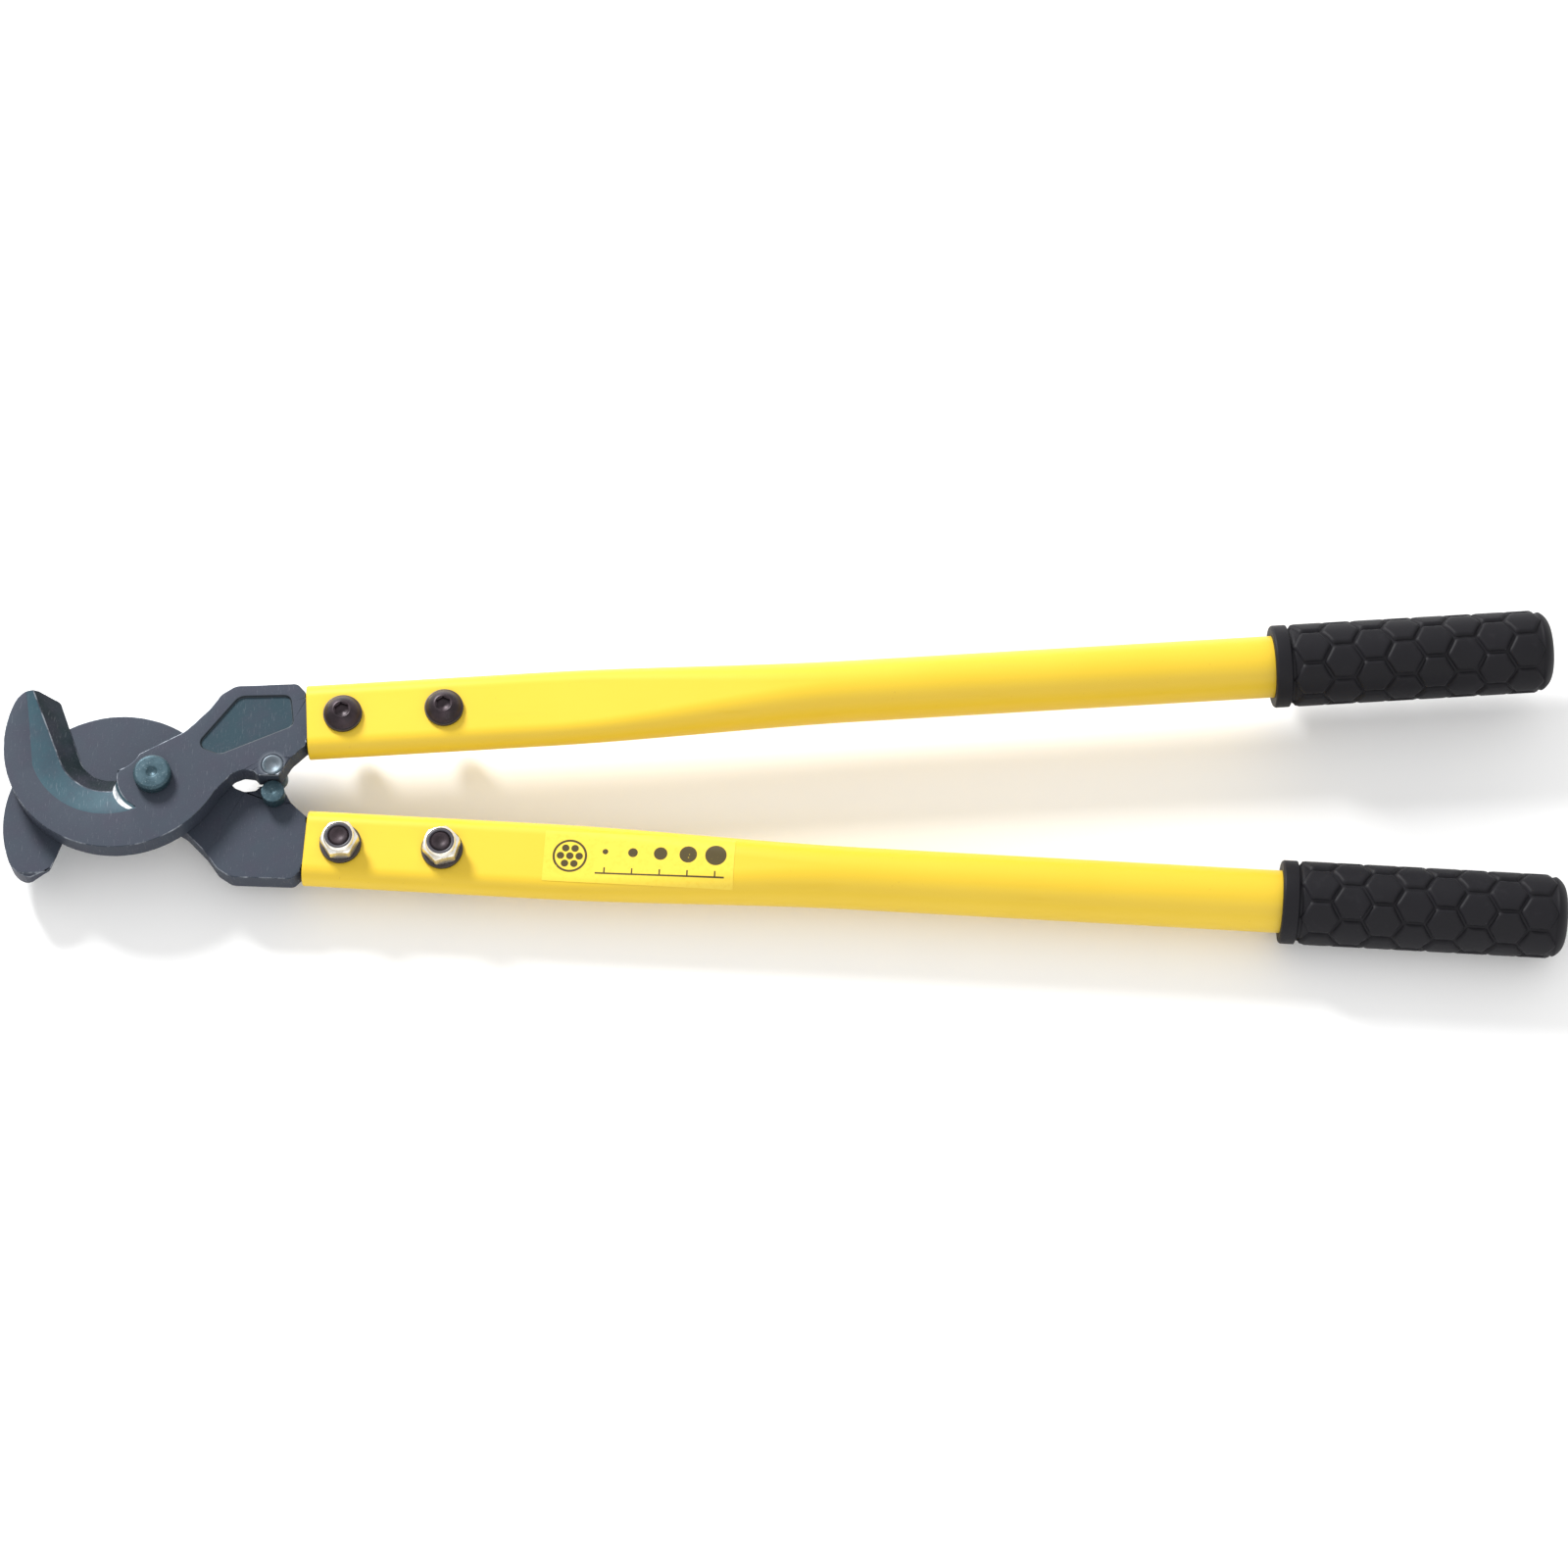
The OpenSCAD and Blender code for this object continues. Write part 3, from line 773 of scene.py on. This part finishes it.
def nutMesh(name, flats, height, thread):
    corner, hexTop = flats / 2 / math.cos(math.pi / 6), height * fastener["hexShare"]
    inner, seat = thread + fastener["insertWall"], height - fastener["insert"]
    chamfer = []
    for i in range(6):
        chamfer.append((flats * (fastener["chamferFrom"] + fastener["chamferStep"] * i),
                        fastener["chamferRise"] * flats * (i / 5) ** 1.6))
    outline = chamfer + [(r, hexTop - z) for r, z in reversed(chamfer)]
    collar = [(flats * fastener["collarFoot"], hexTop + 0.1 * mm),
              (flats * 0.448, height - 0.9 * mm), (flats * 0.425, height - 0.15 * mm),
              (flats * fastener["collarTop"], height)]
    bore = [(inner + 0.1 * mm, height), (inner, height - 0.15 * mm), (inner, seat),
            (thread + 0.05 * mm, seat), (thread + 0.05 * mm, 0.5 * mm), (thread + 0.5 * mm, 0)]
    rings = [(min(r, corner * 0.99), z, flats) for r, z in outline]
    return turned(name, rings + collar + bore, closed=True)


def insertMesh(name, height, thread):
    outer, inner = thread + fastener["insertWall"], thread + 0.05 * mm
    low, high = height - fastener["insert"], height - 0.05 * mm
    middle = (outer + inner) / 2
    outline = [(middle, low), (outer, low), (outer, high - 0.2 * mm), (middle, high),
               (inner, high - 0.3 * mm), (inner, low), (middle, low)]
    return turned(name, filleted(outline, 0.2 * mm)[:-1], closed=True)


def screwMesh(name, length):  # the head's seat is at zero
    head, tall, flats = fastener["head"], fastener["headHeight"], fastener["socket"]
    thread, floor = fastener["thread"], tall - fastener["socketDepth"]
    dome = (head ** 2 + tall ** 2) / (2 * tall)
    corner = flats / 2 / math.cos(math.pi / 6)
    rim = corner + 0.55 * mm
    rings = [(thread * 0.35, -length + 0.25 * mm), (thread * 0.5, -length),
             (thread - 0.7 * mm, -length), (thread - 0.1 * mm, -length + 0.6 * mm),
             (thread - 0.1 * mm, -0.3 * mm), (thread, 0), (head - 0.3 * mm, 0),
             (head, 0.3 * mm)]
    for i in range(1, 11):
        r = head + (rim - head) * i / 10
        height = tall - dome + math.sqrt(dome ** 2 - r ** 2)
        rings.append((r, max(height, 0.3 * mm + i * 0.05 * mm)))
    edge = rings[-1][1]
    rings += [(corner + 0.35 * mm, edge + 0.04 * mm), (corner + 0.1 * mm, edge - 0.05 * mm),
              (corner, edge - 0.35 * mm, flats), (corner, floor, flats),
              (corner * 0.55, floor - 0.1 * mm, flats), (corner * 0.2, floor - 0.5 * mm)]
    return turned(name, rings)


def rowTree():
    graph, given = geometryTree("fastenerRow", {
        "Part": "Object", "First": "Float", "Pitch": "Float", "Count": "Int", "Seed": "Int",
        "Material": "Material"})
    part = graph.add("GeometryNodeObjectInfo", None, {"Object": given["Part"]}, "Geometry")
    line = graph.add("GeometryNodeMeshLine", None, {
        "Count": given["Count"], "Start Location": graph.join(given["First"], 0, 0),
        "Offset": graph.join(given["Pitch"], 0, 0)})
    turn = graph.add("FunctionNodeRandomValue", None, {
        2: 0.0, 3: math.tau, "Seed": given["Seed"]}, 1)
    row = graph.add("GeometryNodeInstanceOnPoints", None, {
        "Points": line, "Instance": part, "Rotation": graph.join(0, 0, turn)})
    return finishTree(graph, given, row)


print("fasteners")
fastenerRow = rowTree()
flat = handle["flatHeight"] / 2
outside, under = flat + fastener["washer"], Matrix.Rotation(math.pi, 4, "X")
nutSeat = Matrix.Translation((0, 0, -outside)) @ under
rowParts = {
    "handle_screws": (screwMesh("screw", 2 * outside + fastener["nutHeight"]),
                      Matrix.Translation((0, 0, outside)), "oxide", "black_screw", 5),
    "screw_washers": (washerMesh("headWasher", fastener["headWasher"], fastener["thread"],
                                 fastener["washer"]),
                      Matrix.Translation((0, 0, flat)), "washer", "dark_washer", 2),
    "nut_washers": (washerMesh("nutWasher", fastener["nutWasher"], fastener["thread"],
                               fastener["washer"]),
                    Matrix.Translation((0, 0, -outside)), "washer", "dark_washer", 3),
    "handle_nuts": (nutMesh("nut", fastener["nut"], fastener["nutHeight"], fastener["thread"]),
                    nutSeat, "zinc", "zinc_nut", 8),
    "nut_inserts": (insertMesh("insert", fastener["nutHeight"], fastener["thread"]),
                    nutSeat, "nylon", "nylon_insert", 4),
}
for kind, (mesh, seat, finish, slot, seed) in rowParts.items():
    mesh.transform(seat)
    part = bpy.data.objects.new(kind, smoothed(mesh))
    scene.collection.objects.link(part)
    for side, half in halves.items():
        row = grown(side + "_" + kind, fastenerRow, {
            "Part": part, "First": fastener["first"], "Pitch": fastener["pitch"],
            "Count": fastener["count"], "Seed": seed, "Material": finishes[finish]})
        row.transform(half["place"] @ onHandle)
        row.set_sharp_from_angle(angle=math.radians(34))
        addPiece(side + "_" + kind + "_detail", row, half["body"], [side + "_" + kind], [])
    bpy.data.objects.remove(part)


# pivot: a shoulder bolt with a lock nut behind the rear blade
pivot = {
    "shoulder": 6 * mm,
    "thread": 5 * mm,
    "head": 7.2 * mm,
    "headHeight": 4.5 * mm,
    "face": 10.15 * mm,
    "washer": 11 * mm,
    "washerHeight": 1.5 * mm,
    "nut": 17 * mm,
    "nutHeight": 8 * mm,
}


def pivotBoltMesh():
    r, face, top = pivot["head"], pivot["face"], pivot["face"] + pivot["headHeight"]
    outline = [(1 * mm, -shearZ + 0.6 * mm), (1.6 * mm, -shearZ), (pivot["thread"], -shearZ),
               (pivot["thread"], -face + 0.05 * mm), (pivot["shoulder"], -face + 0.05 * mm),
               (pivot["shoulder"], face), (r, face), (r, top - 0.8 * mm), (r - 0.9 * mm, top),
               (2.2 * mm, top), (1.7 * mm, top - 0.35 * mm), (0.5 * mm, top - 0.9 * mm)]
    return turned("pivotBolt", filleted(outline, 0.3 * mm))


print("pivot")
raised = halves["upper"]["place"]
behind = raised @ Matrix.Translation((0, 0, 0.05 * mm - pivot["face"])) @ under
pivotParts = {
    "pivot_bolt": (pivotBoltMesh(), raised, surface("blued_pivot", bluedSteel(0, 0)), "pin_steel"),
    "pivot_washer": (washerMesh("pivotWasher", pivot["washer"], pivot["thread"],
                                pivot["washerHeight"]), behind, finishes["washer"], "dark_washer"),
    "pivot_nut": (nutMesh("pivotNut", pivot["nut"], pivot["nutHeight"], pivot["thread"]),
                  behind @ Matrix.Translation((0, 0, pivot["washerHeight"])), finishes["zinc"],
                  "zinc_nut"),
    "pivot_nut_insert": (insertMesh("pivotInsert", pivot["nutHeight"], pivot["thread"]),
                         behind @ Matrix.Translation((0, 0, pivot["washerHeight"])),
                         finishes["nylon"], "nylon_insert"),
}
for node, (mesh, place, finish, slot) in pivotParts.items():
    mesh.transform(place)
    addPiece(node + "_detail", smoothed(mesh), "lower_half", [node], [finish])


# stop pins: a round head against the other blade, peened over on the outer face
stopPin = {"shank": 2.5 * mm, "head": 4.5 * mm, "tall": 6 * mm, "peen": 4.15 * mm, "rise": 2 * mm}


def stopPinMesh(name):
    low, outer = -stopPin["tall"], blade["gap"] + blade["thickness"]
    outline = [(0.4 * mm, low + 0.35 * mm), (1.2 * mm, low), (stopPin["head"], low),
               (stopPin["head"], blade["gap"]), (stopPin["shank"], blade["gap"]),
               (stopPin["shank"], outer - stopPin["rise"]), (stopPin["peen"], outer),
               (3.4 * mm, outer + 0.12 * mm), (2.7 * mm, outer), (1.4 * mm, outer - 0.45 * mm),
               (0.4 * mm, outer - 0.55 * mm)]
    return turned(name, filleted(outline, 0.35 * mm))


print("stop pins")
for side, node, across in (("upper", "front_stop_pin", 1), ("lower", "rear_stop_pin", -1)):
    mesh = stopPinMesh(node)
    mesh.transform(halves[side]["place"]
                   @ Matrix.Translation((blade["stopX"], blade["stopY"], 0)))
    finish = surface("blued_" + node, bluedSteel(blade["stopX"], across * blade["stopY"], 1))
    addPiece(node + "_detail", smoothed(mesh), halves[side]["body"], [node],
             [finish])


# size label on the lower tube, with plain shapes for cable sizes
label = {
    "from": 92 * mm,
    "to": 165 * mm,
    "across": 10.2 * mm,
    "lift": 0.05 * mm,
    "film": 0.06 * mm,
    "stepsAlong": 48,
    "stepsAcross": 28,
    "ink": rgb(0.022, 0.016, 0.012),
    "filmColour": rgb(0.76, 0.56, 0.055),
    # the print, in millimetres from the film's lower left corner
    "ringAt": (10, 10.5),
    "ring": 6.2,
    "ringLine": 0.45,
    "strands": 6,
    "strand": 1.45,
    "strandsAt": 3.6,
    "discs": 5,
    "firstDisc": (23.5, 12.8),
    "discPitch": 10.6,
    "smallest": 1.1,
    "discStep": 0.75,
    "tick": (0.3, 4.2, 6.4),  # half its width, then its foot and top
    "scale": (20, 69.5, 3.6, 4.3),
}


def crownHeight(s, t):  # height of the tube's surface over its axis
    width, height, corner = sectionAt(s)
    past = max(abs(t) - (width / 2 - corner), 0)
    return height / 2 - corner + math.sqrt(corner ** 2 - min(past, corner) ** 2)


def labelMesh():
    columns, rows = label["stepsAlong"] + 1, label["stepsAcross"] + 1
    verts, faces, spots = [], [], []
    for i in range(columns):
        for j in range(rows):
            u, v = i / (columns - 1), j / (rows - 1)
            s = label["from"] + u * (label["to"] - label["from"])
            t = label["across"] * (1 - 2 * v)
            verts.append((s, t, -crownHeight(s, t) - label["lift"]))
            spots.append((u, v))
    for i in range(columns - 1):
        for j in range(rows - 1):
            a = i * rows + j
            faces.append((a, a + rows, a + rows + 1, a + 1))
    mesh = bpy.data.meshes.new("label")
    mesh.from_pydata(verts, [], faces)
    uv = mesh.uv_layers.new(name="print")
    for loop in mesh.loops:
        uv.data[loop.index].uv = spots[loop.vertex_index]
    holder = bpy.data.objects.new("label", mesh)
    scene.collection.objects.link(holder)
    film = holder.modifiers.new("film", "SOLIDIFY")
    film.thickness = label["film"]
    film.offset = 1
    return baked(holder, "label")


def labelPrint(graph, place):
    u, v, w = graph.parts(graph.add("ShaderNodeTexCoord", None, None, "UV"))
    x, y = u * (label["to"] - label["from"]) / mm, v * 2 * label["across"] / mm

    def disc(centreX, centreY, radius):
        return graph.length2(x - centreX, y - centreY) < radius

    def bar(fromX, toX, fromY, toY):
        return (x > fromX) * (x < toX) * (y > fromY) * (y < toY)

    middleX, middleY = label["ringAt"]
    fromMiddle = graph.length2(x - middleX, y - middleY)
    shapes = [(fromMiddle - label["ring"]).size() < label["ringLine"], fromMiddle < label["strand"]]
    for i in range(label["strands"]):
        angle, out = math.tau * i / label["strands"], label["strandsAt"]
        shapes.append(disc(middleX + out * math.cos(angle), middleY + out * math.sin(angle),
                           label["strand"]))
    firstX, firstY = label["firstDisc"]
    halfTick, tickFoot, tickTop = label["tick"]
    for i in range(label["discs"]):
        discX = firstX + label["discPitch"] * i
        shapes.append(disc(discX, firstY, label["smallest"] + label["discStep"] * i))
        shapes.append(bar(discX - halfTick, discX + halfTick, tickFoot, tickTop))
    shapes.append(bar(*label["scale"]))
    ink = shapes[0]
    for shape in shapes[1:]:
        ink = graph.greatest(ink, shape)
    wear = graph.noise(place, 700, 3, 0.7).ramp(0.74, 0.66)
    cloud = graph.noise(place, 500, 3, 0.7)
    colour = graph.mix(cloud.ramp(0.45, 0.75) * 0.5, label["filmColour"], rgb(0.70, 0.46, 0.03))
    colour = graph.mix(ink * wear * 0.94, colour, label["ink"])
    return {"Base Color": colour, "Roughness": 0.34 + cloud * 0.08,
            "Normal": graph.bump(cloud, 0.06, 0.05 * mm)}


print("label")
mesh = labelMesh()
mesh.transform(halves["lower"]["place"] @ onHandle)
mesh.shade_smooth()
mesh.set_sharp_from_angle(angle=math.radians(50))
addPiece("size_label", mesh, "lower_half", [],
         [surface("size_label", labelPrint, Specular_IOR_Level=0.3)])


# floor, light and camera
view = {
    "aim": (241.8 * mm, 0.2 * mm, shearZ),
    "elevation": 67.7,
    "roll": 0.13,
    "distance": 1.65,
    "width": 0.6044,
    "sensor": 36,
    "key": (-0.50, 1.02, 0.80),
    "keySize": 0.42,
    "keyPower": 31,
    "fill": (0.5, -1.1, 0.9),
    "fillSize": 1.4,
    "fillPower": 4.6,
    "sky": 0.88,
    "floorSize": 16,
    "floorDrop": 0.1 * mm,
}


def floorPaper(graph, place):
    fibre = graph.noise(place, 40, 3)
    return {"Base Color": graph.mix(fibre, rgb(0.93, 0.93, 0.93), rgb(0.95, 0.95, 0.945)),
            "Roughness": 0.85 + fibre * 0.05}


def areaLight(name, place, size, power):
    lamp = bpy.data.lights.new(name, "AREA")
    lamp.shape, lamp.size, lamp.energy = "DISK", size, power
    light = bpy.data.objects.new(name, lamp)
    light.location = place
    toward = Vector(view["aim"]) - Vector(place)
    light.rotation_euler = toward.to_track_quat("-Z", "Y").to_euler()
    scene.collection.objects.link(light)


print("stage")
mesh = bpy.data.meshes.new("floor")
reach = view["floorSize"] / 2
corners = [(-reach, -reach), (reach, -reach), (reach, reach), (-reach, reach)]
mesh.from_pydata([(x, y, -view["floorDrop"]) for x, y in corners], [], [(0, 1, 2, 3)])
mesh.materials.append(surface("floor_paper", floorPaper))
floor = bpy.data.objects.new("floor", mesh)
scene.collection.objects.link(floor)

areaLight("key", view["key"], view["keySize"], view["keyPower"])
areaLight("fill", view["fill"], view["fillSize"], view["fillPower"])
world = bpy.data.worlds.new("studio")
world.use_nodes = True
sky = Graph(world.node_tree)
glow = sky.add("ShaderNodeBackground", None, {"Color": rgb(1, 1, 1), "Strength": view["sky"]})
sky.add("ShaderNodeOutputWorld", None, {"Surface": glow})
scene.world = world
scene.view_settings.view_transform = "Standard"

camera = bpy.data.cameras.new("camera")
camera.sensor_width = view["sensor"]
camera.lens = view["sensor"] * view["distance"] / view["width"]
eye = bpy.data.objects.new("camera", camera)
tilt = math.radians(view["elevation"])
back = Vector((0, -math.cos(tilt), math.sin(tilt)))
eye.location = Vector(view["aim"]) + back * view["distance"]
level = (-back).to_track_quat("-Z", "Y")
eye.rotation_euler = (level @ Quaternion((0, 0, 1), -math.radians(view["roll"]))).to_euler()
scene.collection.objects.link(eye)
scene.camera = eye
